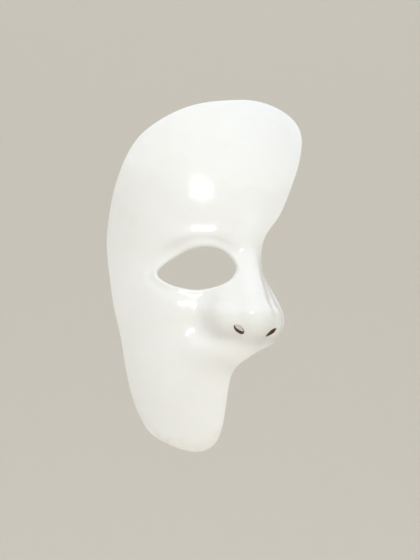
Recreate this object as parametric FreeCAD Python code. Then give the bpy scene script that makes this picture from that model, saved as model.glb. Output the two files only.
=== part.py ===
"""Half-face masquerade mask: lacquered papier-mache shell with comfort pads and tie rings.

Millimetres.  +Z is up the face, -Y is the way the mask looks, +X is the wearer's left.
The wearer's midline is the plane x = 0.
"""
import FreeCAD
import Part
import math
import os

os.makedirs("parts", exist_ok=True)
Vector = FreeCAD.Vector

# ---------------------------------------------------------------- driving sizes
COAT = 0.45            # gesso and lacquer skin
SHELL = 2.0            # papier-mache
TURN_IN = 3.9          # how far the skin is carried round onto the inside
STRIP = 0.5            # binding paper, two layers
RIM_STRIP = 7.0        # width at the rim
EYE_STRIP = 4.0        # width round the eye
STRIP_LEAST = 2.4      # across the narrow bridge
PAD_HEIGHT = 4.0
GLUE = 0.25
COLUMNS_EACH = 3       # surface columns between two outline points
MIDDLE_ROWS = 22
AXIS_Y = 60.0          # the face is unrolled about this upright axis
AXIS_R = 60.0
WIRE = 0.9             # tie ring wire radius
WIRE_PLAY = 0.1
LEATHER = 1.0
PATCH_TOP = 1.4        # flat top of an anchor patch over the inside surface
NOSE_REST = 2.5        # height of the nose cushion

BACK = COAT + SHELL    # depth of the inside surface

# Section of the head at each height: where the middle is, half width, half depth.
MIDLINE = [(-135, 16), (-115, 9), (-95, 4.5), (-75, 1.5), (-58, -0.5), (-40, 0.5), (-20, 2.5),
           (0, 3), (18, 0), (35, -1), (55, 1), (75, 6), (92, 13.5), (106, 23.5), (120, 38)]
HALF_WIDTH = [(-135, 44), (-115, 52), (-95, 59), (-75, 65), (-50, 70), (-25, 74), (0, 75.5),
              (30, 76), (60, 74.5), (85, 70), (105, 63), (120, 55)]
HALF_DEPTH = [(-135, 58), (-115, 66), (-95, 72), (-75, 77), (-50, 81), (-25, 83), (0, 83),
              (30, 80), (60, 74), (85, 66), (105, 56), (120, 46)]

# Soft rises (+) and hollows (-): height, centre, spread, and whether both sides have one.
RISES = [
    (4.0, (-31, 2, 11), (22, 22, 7.5), True),     # brow
    (2.4, (0, -2, 18), (15, 22, 10), False),      # between the brows
    (-4.8, (-30, 6, 0), (20, 26, 15), True),     # eye socket
    (-2.2, (-15, 4, 1), (7, 20, 11), True),       # inner corner of the eye
    (2.6, (-46, 14, -30), (22, 30, 18), True),    # cheekbone
    (1.6, (-24, 2, -66), (20, 26, 18), True),     # beside the mouth
    (-1.2, (-26, 2, -40), (8, 24, 14), True),     # beside the nose
    (5.0, (-14, -2, -57.5), (15.5, 22, 9.5), True),  # upper lip, either side
    (3.5, (25, 4, -30), (13, 24, 18), False),     # flare to the rim beside the nose
]

# Outer edge and eye edge, point for point, as (distance round the face, height).
RIM = [(15.8, 0.1), (11.7, 9.1), (13.5, 18.7), (22.9, 31.5), (31.5, 47.6), (42.7, 65.1), (57.1, 83),
       (70.3, 98), (65, 105.4), (49.5, 109), (28.1, 109.9), (6.9, 108.8), (-15.2, 106.2),
       (-34.8, 103.1), (-51.7, 97.5), (-65.3, 88.7), (-76.2, 77.1), (-83.1, 60.3), (-87.6, 43),
       (-90.9, 23.8), (-92.2, 4.4), (-89.4, -14), (-85.3, -32.3), (-80.6, -50.3), (-77.7, -72),
       (-73.5, -92.1), (-64, -107.5), (-47, -115.5), (-28, -119.2), (-13.9, -115.7), (-7.7, -104.8),
       (-6.4, -87.8), (-5.6, -74.3), (-3.4, -64.4), (1, -56.4), (7.6, -51.2), (17.6, -47.8),
       (28.1, -40.6), (29.6, -29.9), (21.4, -14.1)]
EYE = [(-7, -5.2), (-7.5, -3.1), (-8.2, -1.1), (-9.2, 0.7), (-10.4, 2.5), (-12.1, 4.1), (-14.2, 5.4),
       (-16.2, 6.4), (-18.5, 7), (-20.9, 7.5), (-23.7, 7.6), (-26.4, 7.5), (-28.9, 7.3), (-31.3, 7),
       (-33.9, 6.4), (-37.1, 5.4), (-40.2, 4), (-43.5, 2.3), (-47, 0.3), (-50.4, -2), (-53.9, -4.9),
       (-57, -8.2), (-56.5, -11.5), (-53.1, -14), (-49.6, -15.8), (-46.3, -17.2), (-43.3, -18.1),
       (-39.1, -18.9), (-35.3, -19.4), (-32.3, -19.6), (-29.4, -19.5), (-27, -19.1), (-24.7, -18.6),
       (-22.2, -18.1), (-19.7, -17.4), (-17.3, -16.7), (-14.9, -15.8), (-12.5, -14.4), (-10.2, -12.4),
       (-8.1, -9.2)]


# ---------------------------------------------------------------- the face as a field
def value_at(table, z):
    """Smooth curve through a table of (height, value)."""
    z = min(max(z, table[0][0]), table[-1][0])
    i = 0
    while i < len(table) - 2 and z > table[i + 1][0]:
        i = i + 1
    slopes = []
    for k in (i, i + 1):
        low = table[max(k - 1, 0)]
        high = table[min(k + 1, len(table) - 1)]
        slopes.append((high[1] - low[1]) / (high[0] - low[0]))
    h = table[i + 1][0] - table[i][0]
    t = (z - table[i][0]) / h
    start = (2 * t ** 3 - 3 * t ** 2 + 1) * table[i][1] + (t ** 3 - 2 * t ** 2 + t) * h * slopes[0]
    end = (3 * t ** 2 - 2 * t ** 3) * table[i + 1][1] + (t ** 3 - t ** 2) * h * slopes[1]
    return start + end


def join(a, b, radius):
    """Union of two distances with a fillet."""
    h = min(max(0.5 + 0.5 * (b - a) / radius, 0.0), 1.0)
    return b + (a - b) * h - radius * h * (1 - h)


def egg(x, y, z, centre, size):
    """Distance to an ellipsoid."""
    x, y, z = (x - centre[0]) / size[0], (y - centre[1]) / size[1], (z - centre[2]) / size[2]
    k0 = math.sqrt(x * x + y * y + z * z)
    k1 = math.sqrt((x / size[0]) ** 2 + (y / size[1]) ** 2 + (z / size[2]) ** 2)
    return k0 * (k0 - 1) / max(k1, 1e-9)


def taper(x, y, z, a, b, ra, rb):
    """Distance to a rod that changes radius along its length."""
    dx, dy, dz = b[0] - a[0], b[1] - a[1], b[2] - a[2]
    px, py, pz = x - a[0], y - a[1], z - a[2]
    t = (px * dx + py * dy + pz * dz) / (dx * dx + dy * dy + dz * dz)
    t = min(max(t, 0.0), 1.0)
    return math.sqrt((px - t * dx) ** 2 + (py - t * dy) ** 2 + (pz - t * dz) ** 2) - (ra + (rb - ra) * t)


def head(x, y, z):
    """Distance to the plain head form."""
    half = value_at(HALF_WIDTH, z)
    deep = value_at(HALF_DEPTH, z)
    middle = value_at(MIDLINE, z) + deep
    g = math.sqrt((x / half) ** 2 + ((y - middle) / deep) ** 2)
    k = math.sqrt((x / half ** 2) ** 2 + ((y - middle) / deep ** 2) ** 2)
    return g * (g - 1) / max(k, 1e-9)


def nose(x, y, z):
    """Distance to the nose."""
    side = -abs(x)
    d = taper(x, y, z, (0, 5, 6), (0, -14, -33), 6.0, 10.0)
    d = join(d, egg(x, y, z, (0, -16, -37), (12.5, 11, 10)), 6)
    d = join(d, taper(side, y, z, (-4.5, 8, -4), (-12.5, -1.5, -33), 5.0, 10.0), 12)
    d = join(d, egg(side, y, z, (-13.2, -5.5, -39.5), (8.2, 10.5, 8.6)), 10)
    return join(d, taper(x, y, z, (0, -14, -43.5), (0, 0, -56), 5.5, 8.0), 9)


def face(x, y, z):
    """Distance outside the finished front of the mask."""
    d = head(x, y, z)
    for height, centre, spread, both in RISES:
        for side in ((1, -1) if both else (1,)):
            q = ((x - side * centre[0]) / spread[0]) ** 2
            q = q + ((y - centre[1]) / spread[1]) ** 2 + ((z - centre[2]) / spread[2]) ** 2
            if q < 20:
                d = d - height * math.exp(-q)
    if abs(x) > 60 or z > 45 or z < -95:
        return d
    return join(d, nose(x, y, z), 12.0)


def ray(u, w):
    """Line out of the head for a place on the unrolled face; it dips under the nose."""
    turn = u / AXIS_R
    dip = math.radians(30) * math.exp(-((w + 55) / 19.0) ** 2 - (u / 42.0) ** 2)
    start = (AXIS_R * math.sin(turn), AXIS_Y - AXIS_R * math.cos(turn), w)
    way = (math.sin(turn) * math.cos(dip), -math.cos(turn) * math.cos(dip), -math.sin(dip))
    return start, way


def face_point(u, w, depth, lift=0.0):
    """Point on the ray at this depth below the front."""
    (ox, oy, oz), (dx, dy, dz) = ray(u, w)
    s, last_s, last_g = 12.0, None, None
    for _ in range(40):
        g = face(ox + dx * s, oy + dy * s, oz + dz * s) + depth
        if abs(g) < 0.002:
            break
        step = -0.8 * g
        if last_g is not None and abs(g - last_g) > 1e-9:
            secant = -g * (s - last_s) / (g - last_g)
            if abs(secant) < 12 and secant * g < 0:
                step = secant
        last_s, last_g = s, g
        s = s + min(max(step, -8.0), 8.0)
    s = s + lift
    return Vector(ox + dx * s, oy + dy * s, oz + dz * s)


# ---------------------------------------------------------------- outlines and columns
def closed_curve(points):
    """Controls of the closed cubic curve that passes through the points."""
    controls = [list(p) for p in points]
    n = len(points)
    for _ in range(40):
        for i in range(n):
            for k in (0, 1):
                around = controls[i - 1][k] + controls[(i + 1) % n][k]
                controls[i][k] = (6 * points[i][k] - around) / 4
    return controls


def curve_at(controls, t):
    """Place and direction on a closed cubic curve."""
    n = len(controls)
    i = int(math.floor(t))
    f = t - i
    weight = [(1 - f) ** 3 / 6, (3 * f ** 3 - 6 * f ** 2 + 4) / 6,
              (-3 * f ** 3 + 3 * f ** 2 + 3 * f + 1) / 6, f ** 3 / 6]
    slope = [-(1 - f) ** 2 / 2, (9 * f ** 2 - 12 * f) / 6, (-9 * f ** 2 + 6 * f + 3) / 6, f ** 2 / 2]
    place = [0.0, 0.0]
    along = [0.0, 0.0]
    for j in range(4):
        c = controls[(i - 1 + j) % n]
        for k in (0, 1):
            place[k] = place[k] + weight[j] * c[k]
            along[k] = along[k] + slope[j] * c[k]
    size = math.hypot(along[0], along[1])
    return place, (along[0] / size, along[1] / size)


RIM_CURVE = closed_curve(RIM)
EASE = 6.0
COLUMN_COUNT = len(RIM) * COLUMNS_EACH


def make_column(j):
    """Eye end, rim end and the directions the column leaves them."""
    t = j / COLUMNS_EACH
    eye, eye_way = curve_at(EYE, t)
    rim, rim_way = curve_at(RIM_CURVE, t)
    length = math.hypot(rim[0] - eye[0], rim[1] - eye[1])
    return {"eye": eye, "rim": rim, "length": length,
            "out_of_eye": (eye_way[1], -eye_way[0]), "out_of_rim": (rim_way[1], -rim_way[0])}


COLUMNS = [make_column(j) for j in range(COLUMN_COUNT)]


def column_place(column, t):
    """Point at distance t from the eye: it leaves both edges square and runs straight between."""
    eye, rim, length = column["eye"], column["rim"], column["length"]
    near_eye = (1 - t / length) ** 1.5 / (1 + t / EASE)
    near_rim = (t / length) ** 1.5 / (1 + (length - t) / EASE)
    place = []
    for k in (0, 1):
        way = (rim[k] - eye[k]) / length
        bend = near_eye * t * (column["out_of_eye"][k] - way)
        bend = bend - near_rim * (length - t) * (column["out_of_rim"][k] - way)
        place.append(eye[k] + way * t + bend)
    return place


def eye_lift(gap, j):
    """Raised lip round the eye and the crease over it; gap is the distance from the eye edge."""
    t = j / COLUMNS_EACH
    over = math.exp(-((t - 13.0) / 6.5) ** 2)
    lip = 0.5 * math.exp(-(gap / 2.4) ** 2)
    crease = (0.05 + 1.25 * over) * math.exp(-((gap - 5.0) / 2.6) ** 2)
    return lip - crease


def row_points(row):
    """All the points of one row, given as (where, distance or share, depth)."""
    where, amount, depth = row
    points = []
    for j in range(COLUMN_COUNT):
        column = COLUMNS[j]
        length = column["length"]
        room = max(STRIP_LEAST, 0.25 * (length - 18))
        if where == "eye":
            t = amount
        elif where == "rim":
            t = length - amount
        elif where == "eye strip":
            t = TURN_IN + 0.3 + amount * min(EYE_STRIP, room)
        elif where == "rim strip":
            t = length - (TURN_IN + 0.3 + amount * min(RIM_STRIP, room))
        else:
            t = 5.0 + amount ** 1.35 * (length - 9.0)
        u, w = column_place(column, t)
        lift = eye_lift(t, j) if t < 14 else 0.0
        points.append(face_point(u, w, depth, lift))
    return points


SAVED_ROWS = {}


def ring_solid(rows):
    """Closed ring-shaped solid whose skin passes along the rows."""
    poles = []
    for row in rows:
        if row not in SAVED_ROWS:
            SAVED_ROWS[row] = row_points(row)
        poles.append(SAVED_ROWS[row])
    n, m = len(poles), COLUMN_COUNT
    skin = Part.BSplineSurface()
    skin.buildFromPolesMultsKnots(poles, [1] * (n + 1), [1] * (m + 1), list(range(n + 1)),
                                  list(range(m + 1)), True, True, 3, 3)
    solid = Part.Solid(Part.Shell([skin.toShape()]))
    if solid.Volume < 0:
        solid.reverse()
    return solid


# ---------------------------------------------------------------- layers
MIDDLE = [("middle", round(k / (MIDDLE_ROWS - 1), 5)) for k in range(MIDDLE_ROWS)]
ROUND = 0.5 * (BACK + COAT)      # radius of the finished edge


def edge_rows(where, radius, turn_in):
    """Rows round an edge from the front to the inside."""
    rows = []
    for degrees in (0, 38, 90, 142, 180):
        a = math.radians(degrees)
        rows.append((where, round(ROUND - radius * math.sin(a), 4), round(ROUND - radius * math.cos(a), 4)))
    return rows + [(where, t, round(ROUND + radius, 4)) for t in turn_in]


def across(depth):
    """Rows from the eye to the rim at one depth."""
    return [("eye", 2.7, depth)] + [(w, f, depth) for w, f in MIDDLE] + [("rim", 2.6, depth)]


def build_coat():
    outside = across(0.0)
    inside = across(COAT)
    turn = [2.3, 3.1]
    rim_out = edge_rows("rim", ROUND, turn)
    rim_in = edge_rows("rim", ROUND - COAT, turn)
    eye_out = edge_rows("eye", ROUND, turn)
    eye_in = edge_rows("eye", ROUND - COAT, turn)
    tip = round(BACK + COAT / 2, 4)
    rows = outside + rim_out + [("rim", TURN_IN, tip)] + rim_in[::-1]
    rows = rows + inside[::-1] + eye_in + [("eye", TURN_IN, tip)] + eye_out[::-1]
    return ring_solid(rows)


def build_shell():
    turn = [2.3, 3.1]
    front = across(COAT)
    rim = edge_rows("rim", ROUND - COAT, turn)
    eye = edge_rows("eye", ROUND - COAT, turn)
    back = [(w, f, BACK) for w, f in MIDDLE]
    return ring_solid(front + rim + back[::-1] + eye[::-1])


def band(rows):
    """Closed ribbon whose edges are its first and last rows."""
    poles = [row_points(row) for row in rows]
    n, m = len(poles), COLUMN_COUNT
    degree = min(3, n - 1)
    mults = [degree + 1] + [1] * (n - degree - 1) + [degree + 1]
    sheet = Part.BSplineSurface()
    sheet.buildFromPolesMultsKnots(poles, mults, [1] * (m + 1), list(range(len(mults))),
                                   list(range(m + 1)), False, True, degree, 3)
    return sheet.toShape()


def build_binding(where):
    """Paper strip glued on the inside along an edge."""
    low = BACK
    high = BACK + STRIP
    across_strip = [0.0, 0.25, 0.5, 0.75, 1.0]
    skin = Part.Shell([band([(where, s, low) for s in across_strip]),
                       band([(where, s, high) for s in across_strip]),
                       band([(where, 0.0, low), (where, 0.0, high)]),
                       band([(where, 1.0, low), (where, 1.0, high)])])
    skin.sewShape()
    solid = Part.Solid(skin)
    if solid.Volume < 0:
        solid.reverse()
    return solid


def nostril_cutter(side):
    """Slot through both layers under the nose tip."""
    centre = Vector(0.8 + side * 11.2, -17.9, -45.2)
    out = Vector(side * 0.40, -0.65, -0.64)
    out.normalize()
    long_way = Vector(-side * 5.0, 0.8, -4.7)
    long_way = long_way - out * long_way.dot(out)
    long_way.normalize()
    ellipse = Part.Ellipse(centre - out * 9 + long_way * 4.0, centre - out * 9 + out.cross(long_way) * 2.3,
                           centre - out * 9)
    wall = Part.Face(Part.Wire(ellipse.toShape()))
    return wall.extrude(out * 14)


# ---------------------------------------------------------------- pads
def pad(u0, w0, half_u, half_w, slant, height):
    """Cushion glued on the inside, crowned towards the wearer."""
    count = 13
    floor = BACK + GLUE
    faces = []
    for crown in (0.0, height):
        poles = []
        for i in range(count):
            line = []
            for k in range(count):
                x = math.sin(math.pi / 2 * (2 * i / (count - 1) - 1))
                y = math.sin(math.pi / 2 * (2 * k / (count - 1) - 1))
                px = half_u * x * math.sqrt(1 - 0.38 * y * y)
                py = half_w * y * math.sqrt(1 - 0.38 * x * x)
                a = math.radians(slant)
                u = u0 + px * math.cos(a) - py * math.sin(a)
                w = w0 + px * math.sin(a) + py * math.cos(a)
                rise = max((1 - x ** 6) * (1 - y ** 6), 0.0) ** 0.45
                line.append(face_point(u, w, floor + crown * rise))
            poles.append(line)
        knots = list(range(count - 2))
        mults = [4] + [1] * (count - 4) + [4]
        sheet = Part.BSplineSurface()
        sheet.buildFromPolesMultsKnots(poles, mults, mults, knots, knots, False, False, 3, 3)
        faces.append(sheet.toShape())
    skin = Part.Shell(faces)
    skin.sewShape()
    solid = Part.Solid(skin)
    if solid.Volume < 0:
        solid.reverse()
    return solid


# ---------------------------------------------------------------- tie anchors
def anchor_frame(u, w, toward_u, toward_w):
    """Placement on the inside: x towards the edge, z towards the wearer."""
    here = face_point(u, w, BACK)
    ahead = face_point(u + 2 * toward_u, w + 2 * toward_w, BACK)
    behind = face_point(u - 2 * toward_u, w - 2 * toward_w, BACK)
    left = face_point(u - 2 * toward_w, w + 2 * toward_u, BACK)
    right = face_point(u + 2 * toward_w, w - 2 * toward_u, BACK)
    x_way = ahead - behind
    x_way.normalize()
    z_way = x_way.cross(left - right)
    z_way.normalize()
    if z_way.dot(Vector(0, AXIS_Y, here.z) - here) < 0:
        z_way = z_way * -1
    y_way = z_way.cross(x_way)
    turn = FreeCAD.Rotation(x_way, y_way, z_way, "ZXY")
    return FreeCAD.Placement(here, turn)


def rounded_plate(x0, x1, half_y, z0, z1, radius):
    plate = Part.makeBox(x1 - x0, 2 * half_y, z1 - z0, Vector(x0, -half_y, z0))
    upright = [e for e in plate.Edges if abs(e.tangentAt(e.FirstParameter).z) > 0.99]
    return plate.makeFillet(radius, upright)


def bed_height(placement, x, y):
    """Height of the glue line on the inside surface, in an anchor's own frame."""
    z = 0.0
    for _ in range(30):
        here = placement.multVec(Vector(x, y, z))
        z = z + 0.9 * (face(here.x, here.y, here.z) + BACK + GLUE)
    return z


BAR_X = 3.0
BAR_Z = PATCH_TOP + LEATHER + WIRE + WIRE_PLAY
RING_HALF = 6.0        # half the bar, middle of the wire
RING_REACH = 11.0
TAB_HALF = 3.8


def anchor_patch(placement):
    """Leather patch: flat on the wearer's side, bedded on the paper on the other."""
    corner = 3.0
    outline = []
    for cx, cy, first in ((4.4, 7.5, 0), (-10.0, 7.5, 90), (-10.0, -7.5, 180), (4.4, -7.5, 270)):
        for k in range(5):
            a = math.radians(first + 22.5 * k)
            x = cx - math.copysign(corner, cx) + corner * math.cos(a)
            y = cy - math.copysign(corner, cy) + corner * math.sin(a)
            outline.append((x, y))
    centre = (-2.8, 0.0)
    rings = [outline, [((x + centre[0]) / 2, (y + centre[1]) / 2) for x, y in outline]]
    low = [[placement.multVec(Vector(x, y, bed_height(placement, x, y))) for x, y in r] for r in rings]
    top = [placement.multVec(Vector(x, y, PATCH_TOP)) for x, y in outline]
    middle = placement.multVec(Vector(centre[0], 0, bed_height(placement, centre[0], 0)))
    faces = [Part.Face(Part.makePolygon(top + top[:1]))]
    for i in range(len(outline)):
        k = (i + 1) % len(outline)
        corners = [(low[0][i], low[0][k], top[k], top[i]), (low[1][i], low[1][k], middle),
                   (low[0][i], low[0][k], low[1][k]), (low[0][i], low[1][k], low[1][i])]
        for loop in corners:
            faces.append(Part.Face(Part.makePolygon(list(loop) + [loop[0]])))
    skin = Part.Shell(faces)
    skin.sewShape()
    solid = Part.Solid(skin)
    if solid.Volume < 0:
        solid.reverse()
    return solid


def anchor_tab():
    """Leather folded round the bar of the ring, both ends stuck to the patch."""
    inner = WIRE + WIRE_PLAY
    outer = inner + LEATHER
    tube = Part.makeCylinder(outer, 2 * TAB_HALF, Vector(BAR_X, -TAB_HALF, BAR_Z), Vector(0, 1, 0))
    legs = Part.makeBox(11.0, 2 * TAB_HALF, LEATHER, Vector(BAR_X - 11.0, -TAB_HALF, PATCH_TOP))
    upper = Part.makeBox(3.0, 2 * TAB_HALF, outer * 2, Vector(BAR_X - 3.0, -TAB_HALF, PATCH_TOP))
    flap = Part.makeBox(8.4, 2 * TAB_HALF, LEATHER, Vector(BAR_X - 10.4, -TAB_HALF, PATCH_TOP + LEATHER))
    body = tube.fuse([legs, upper, flap])
    body = body.cut(Part.makeCylinder(inner, 12, Vector(BAR_X, -6, BAR_Z), Vector(0, 1, 0)))
    slope = [Vector(BAR_X - 3.1, -6, PATCH_TOP + 2 * LEATHER), Vector(BAR_X - 3.1, -6, 9),
             Vector(BAR_X + 0.0, -6, 9), Vector(BAR_X + 0.0, -6, BAR_Z + outer)]
    wedge = Part.Face(Part.makePolygon(slope + slope[:1])).extrude(Vector(0, 12, 0))
    return body.cut(wedge).removeSplitter()


def anchor_ring():
    """D-shaped wire ring: straight bar in the fold, bow towards the edge."""
    bend = 2.2
    bar_a = Vector(BAR_X, -RING_HALF + bend, BAR_Z)
    bar_b = Vector(BAR_X, RING_HALF - bend, BAR_Z)
    near_a = Vector(BAR_X + bend, -RING_HALF, BAR_Z)
    near_b = Vector(BAR_X + bend, RING_HALF, BAR_Z)
    reach = BAR_X + RING_REACH
    far_a = Vector(reach - RING_HALF, -RING_HALF, BAR_Z)
    far_b = Vector(reach - RING_HALF, RING_HALF, BAR_Z)
    mid_a = Vector(BAR_X + bend * (1 - math.sqrt(0.5)), -RING_HALF + bend * (1 - math.sqrt(0.5)), BAR_Z)
    mid_b = Vector(mid_a.x, -mid_a.y, BAR_Z)
    edges = [Part.makeLine(bar_a, bar_b), Part.Arc(bar_b, mid_b, near_b).toShape(),
             Part.makeLine(near_b, far_b), Part.Arc(far_b, Vector(reach, 0, BAR_Z), far_a).toShape(),
             Part.makeLine(far_a, near_a), Part.Arc(near_a, mid_a, bar_a).toShape()]
    pieces = []
    for edge in edges:
        start = edge.valueAt(edge.FirstParameter)
        along = edge.tangentAt(edge.FirstParameter)
        circle = Part.Wire(Part.makeCircle(WIRE, start, along))
        pieces.append(Part.Wire(edge).makePipeShell([circle], True, False))
    return pieces[0].fuse(pieces[1:]).removeSplitter()


# ---------------------------------------------------------------- build
def export(name, shape):
    """Move the part to the row frame and write it."""
    shape = shape.copy()
    shape.translate(ORIGIN * -1)
    if len(shape.Solids) == 1:
        shape = shape.Solids[0]
    print(name, shape.isValid(), len(shape.Solids), round(shape.Volume, 1), shape.BoundBox)
    shape.exportStep("parts/" + name + ".step")


ORIGIN = face_point(0, -23, BACK + GLUE + NOSE_REST)
print("origin", ORIGIN)
coat = build_coat()
shell = build_shell()
slots = [nostril_cutter(-1), nostril_cutter(1)]
export("front_coat", coat.cut(slots))
export("paper_shell", shell.cut(slots))
export("rim_binding", build_binding("rim strip"))
export("eye_binding", build_binding("eye strip"))

export("forehead_pad", pad(-12, 70, 24, 8, 4, PAD_HEIGHT))
export("cheek_pad", pad(-55, -62, 7, 16, 6, PAD_HEIGHT))
export("nose_pad", pad(0, -23, 3.6, 5.5, 0, NOSE_REST))

ANCHORS = {"temple": anchor_frame(-76.5, 6, -1.0, 0.0),
           "forehead": anchor_frame(31.0, 77.0, 0.86, -0.51)}
for name, placement in ANCHORS.items():
    ring = anchor_ring()
    ring.Placement = placement
    tab = anchor_tab()
    tab.Placement = placement
    export(name + "_patch", anchor_patch(placement))
    export(name + "_tab", tab)
    export(name + "_ring", ring)
    print(name, "bar", placement.multVec(Vector(BAR_X, 0, BAR_Z)) - ORIGIN,
          "axis", placement.Rotation.multVec(Vector(0, -1, 0)),
          "out", placement.Rotation.multVec(Vector(1, 0, 0)), "up", placement.Rotation.multVec(Vector(0, 0, 1)))
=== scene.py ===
"""Half-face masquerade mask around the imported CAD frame: lacquered paper shell, cushions and tie rings.

The face is a smooth field of soft solids, the same as in the CAD.  Lengths in the form are millimetres
and go to metres when a mesh is made.
"""

import bmesh
import bpy
import math
import numpy as np
from mathutils import Matrix, Vector


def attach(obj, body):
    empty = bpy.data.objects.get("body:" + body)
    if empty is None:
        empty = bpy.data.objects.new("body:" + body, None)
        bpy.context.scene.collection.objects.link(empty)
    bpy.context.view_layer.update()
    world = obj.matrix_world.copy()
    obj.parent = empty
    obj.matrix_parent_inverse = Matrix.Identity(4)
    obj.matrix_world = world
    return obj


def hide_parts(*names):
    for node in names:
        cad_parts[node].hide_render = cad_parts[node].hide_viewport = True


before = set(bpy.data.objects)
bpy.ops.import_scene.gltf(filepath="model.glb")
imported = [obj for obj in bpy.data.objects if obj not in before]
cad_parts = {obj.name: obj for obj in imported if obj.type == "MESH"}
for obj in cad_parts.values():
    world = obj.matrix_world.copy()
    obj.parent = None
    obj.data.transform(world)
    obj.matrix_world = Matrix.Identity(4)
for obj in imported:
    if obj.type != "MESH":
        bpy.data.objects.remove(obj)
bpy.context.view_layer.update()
MM = 0.001

# ---------------- form, as in the CAD
COAT = 0.45  # gesso and lacquer skin
SHELL = 2.0  # papier-mache
BACK = COAT + SHELL  # depth of the inside surface
ROUND = 0.5 * (BACK + COAT)  # radius of the finished edge
TURN_IN = 3.9  # how far the lacquer is carried on to the inside
RIM_STRIP = 7.0  # width of the paper strips
EYE_STRIP = 4.0
STRIP_LEAST = 2.4
AXIS_Y = 60.0  # upright axis that the rays start round
AXIS_R = 60.0
EASE = 6.0  # how soon a column leaves an edge's own direction
GLUE = 0.25
NOSE_REST = 2.5  # height of the nose cushion

# Section of the head at each height: where the middle is, half width, half depth.
MIDLINE = [(-135, 16), (-115, 9), (-95, 4.5), (-75, 1.5), (-58, -0.5), (-40, 0.5), (-20, 2.5),
           (0, 3), (18, 0), (35, -1), (55, 1), (75, 6), (92, 13.5), (106, 23.5), (120, 38)]
HALF_WIDTH = [(-135, 44), (-115, 52), (-95, 59), (-75, 65), (-50, 70), (-25, 74), (0, 75.5),
              (30, 76), (60, 74.5), (85, 70), (105, 63), (120, 55)]
HALF_DEPTH = [(-135, 58), (-115, 66), (-95, 72), (-75, 77), (-50, 81), (-25, 83), (0, 83),
              (30, 80), (60, 74), (85, 66), (105, 56), (120, 46)]
# Soft rises (+) and hollows (-): height, centre, spread, and whether both sides have one.
RISES = [
    (4.0, (-31, 2, 11), (22, 22, 7.5), True),  # brow
    (2.4, (0, -2, 18), (15, 22, 10), False),  # between the brows
    (-4.8, (-30, 6, 0), (20, 26, 15), True),  # eye socket
    (-2.2, (-15, 4, 1), (7, 20, 11), True),  # inner corner of the eye
    (2.6, (-46, 14, -30), (22, 30, 18), True),  # cheekbone
    (1.6, (-24, 2, -66), (20, 26, 18), True),  # beside the mouth
    (-1.2, (-26, 2, -40), (8, 24, 14), True),  # beside the nose
    (5.0, (-14, -2, -57.5), (15.5, 22, 9.5), True),  # upper lip, either side
    (3.5, (25, 4, -30), (13, 24, 18), False),  # flare to the rim beside the nose
]
# Outer edge and eye edge, point for point, as (distance round the face, height).
RIM = [(15.8, 0.1), (11.7, 9.1), (13.5, 18.7), (22.9, 31.5), (31.5, 47.6), (42.7, 65.1), (57.1, 83),
       (70.3, 98), (65, 105.4), (49.5, 109), (28.1, 109.9), (6.9, 108.8), (-15.2, 106.2),
       (-34.8, 103.1), (-51.7, 97.5), (-65.3, 88.7), (-76.2, 77.1), (-83.1, 60.3), (-87.6, 43),
       (-90.9, 23.8), (-92.2, 4.4), (-89.4, -14), (-85.3, -32.3), (-80.6, -50.3), (-77.7, -72),
       (-73.5, -92.1), (-64, -107.5), (-47, -115.5), (-28, -119.2), (-13.9, -115.7), (-7.7, -104.8),
       (-6.4, -87.8), (-5.6, -74.3), (-3.4, -64.4), (1, -56.4), (7.6, -51.2), (17.6, -47.8),
       (28.1, -40.6), (29.6, -29.9), (21.4, -14.1)]
EYE = [(-7, -5.2), (-7.5, -3.1), (-8.2, -1.1), (-9.2, 0.7), (-10.4, 2.5), (-12.1, 4.1), (-14.2, 5.4),
       (-16.2, 6.4), (-18.5, 7), (-20.9, 7.5), (-23.7, 7.6), (-26.4, 7.5), (-28.9, 7.3), (-31.3, 7),
       (-33.9, 6.4), (-37.1, 5.4), (-40.2, 4), (-43.5, 2.3), (-47, 0.3), (-50.4, -2), (-53.9, -4.9),
       (-57, -8.2), (-56.5, -11.5), (-53.1, -14), (-49.6, -15.8), (-46.3, -17.2), (-43.3, -18.1),
       (-39.1, -18.9), (-35.3, -19.4), (-32.3, -19.6), (-29.4, -19.5), (-27, -19.1), (-24.7, -18.6),
       (-22.2, -18.1), (-19.7, -17.4), (-17.3, -16.7), (-14.9, -15.8), (-12.5, -14.4), (-10.2, -12.4),
       (-8.1, -9.2)]


def value_at(table, z):
    """Smooth curve through a table of (height, value)."""
    at, value = np.array(table, float).T
    slope = np.empty_like(value)
    slope[1:-1] = (value[2:] - value[:-2]) / (at[2:] - at[:-2])
    slope[0] = (value[1] - value[0]) / (at[1] - at[0])
    slope[-1] = (value[-1] - value[-2]) / (at[-1] - at[-2])
    z = np.clip(z, at[0], at[-1])
    i = np.clip(np.searchsorted(at, z, side="left") - 1, 0, len(at) - 2)
    h = at[i + 1] - at[i]
    t = (z - at[i]) / h
    start = (2 * t ** 3 - 3 * t ** 2 + 1) * value[i] + (t ** 3 - 2 * t ** 2 + t) * h * slope[i]
    return start + (3 * t ** 2 - 2 * t ** 3) * value[i + 1] + (t ** 3 - t ** 2) * h * slope[i + 1]


def join(a, b, radius):
    """Union of two distances with a fillet."""
    h = np.clip(0.5 + 0.5 * (b - a) / radius, 0.0, 1.0)
    return b + (a - b) * h - radius * h * (1 - h)


def egg(p, centre, size):
    """Distance to an ellipsoid."""
    q = p - np.array(centre, float)
    size = np.array(size, float)
    k0 = np.linalg.norm(q / size, axis=-1)
    k1 = np.linalg.norm(q / size ** 2, axis=-1)
    return k0 * (k0 - 1) / np.maximum(k1, 1e-9)


def taper(p, a, b, ra, rb):
    """Distance to a rod that changes radius along its length."""
    from_a = p - np.array(a, float)
    way = np.array(b, float) - np.array(a, float)
    t = np.clip((from_a @ way) / (way @ way), 0, 1)
    return np.linalg.norm(from_a - t[..., None] * way, axis=-1) - (ra + (rb - ra) * t)


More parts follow.
